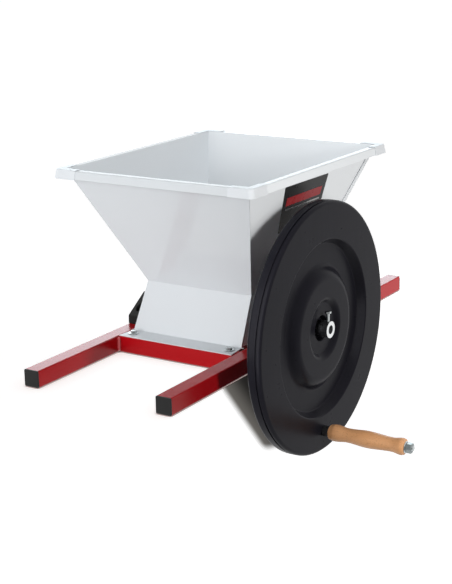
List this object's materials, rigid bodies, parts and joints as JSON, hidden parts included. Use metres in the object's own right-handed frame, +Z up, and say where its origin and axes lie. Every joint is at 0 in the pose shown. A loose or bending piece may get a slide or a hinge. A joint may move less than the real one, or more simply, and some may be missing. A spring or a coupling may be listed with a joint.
{
  "type": "grape crusher",
  "caption": "Hand-cranked grape crusher: square sheet hopper over geared lobed rollers on two long tubes, turned by a large flywheel with a loose wooden grip.",
  "frame": {"origin": "midway between the undersides of the two long tubes, below the centre of the hopper", "axes": "+X along the roller shafts towards the flywheel, +Y along the long tubes to the rear, +Z up"},
  "size_m": [0.6124, 0.85, 0.5092],
  "materials": {
    "white_paint": "gloss white powder coat",
    "white_plastic": "gloss white",
    "red_paint": "gloss red",
    "cap_plastic": "satin black",
    "black_plastic": "satin black moulding",
    "black_nylon": "satin black",
    "bronze": "oiled bronze",
    "zinc": "bright zinc plate",
    "steel": "turned steel",
    "black_steel": "blackened steel",
    "aluminium": "cast, satin",
    "cast_iron": "oiled casting",
    "beech": "varnished beech"
  },
  "bodies": {
    "frame": {"left_leg": "red_paint", "right_leg": "red_paint", "front_cross_tube": "red_paint", "rear_cross_tube": "red_paint", "front_left_cap": "cap_plastic", "front_right_cap": "cap_plastic", "rear_left_cap": "cap_plastic", "rear_right_cap": "cap_plastic", "hopper_front_sheet": "white_paint", "hopper_rear_sheet": "white_paint", "hopper_left_sheet": "white_paint", "hopper_right_sheet": "white_paint", "front_throat_plate": "white_paint", "rear_throat_plate": "white_paint", "front_left_rim_corner": "white_plastic", "front_right_rim_corner": "white_plastic", "rear_left_rim_corner": "white_plastic", "rear_right_rim_corner": "white_plastic", "left_bearing_block": "black_nylon", "right_bearing_block": "black_nylon", "left_front_bush": "bronze", "left_rear_bush": "bronze", "right_front_bush": "bronze", "right_rear_bush": "bronze", "hopper_bolts": "zinc", "hopper_washers": "zinc", "hopper_weld_nuts": "zinc", "block_bolts": "zinc", "block_weld_nuts": "zinc"},
    "drive": {"drive_shaft": "steel", "drive_roller": "aluminium", "drive_keys": "steel", "drive_roller_screw": "steel", "drive_ring": "steel", "drive_gear": "cast_iron", "flywheel": "black_plastic", "hub_sleeve": "zinc", "hub_screws": "zinc", "hub_set_bolt": "zinc", "handle_bolt": "zinc", "handle_back_washer": "zinc", "handle_base_nut": "black_steel", "handle_base_washer": "black_steel", "handle_end_washer": "zinc", "handle_end_nut": "zinc"},
    "idler": {"idler_shaft": "steel", "idler_roller": "aluminium", "idler_keys": "steel", "idler_roller_screw": "steel", "idler_rings": "steel", "idler_gear": "cast_iron"},
    "grip": {"handle_grip": "beech"}
  },
  "joints": [
    {"name": "crank_spin", "type": "hinge", "parent": "frame", "child": "drive", "pos_m": [0, -0.05, 0.058], "axis": [1, 0, 0], "continuous": true},
    {"name": "idler_spin", "type": "hinge", "parent": "frame", "child": "idler", "pos_m": [0, 0.05, 0.058], "axis": [1, 0, 0], "continuous": true},
    {"name": "grip_spin", "type": "hinge", "parent": "drive", "child": "grip", "pos_m": [0.318, -0.05496, -0.13143], "axis": [1, 0, 0], "continuous": true}
  ],
  "couplings": [
    {"joint": "idler_spin", "follows": "crank_spin", "ratio": -1}
  ]
}
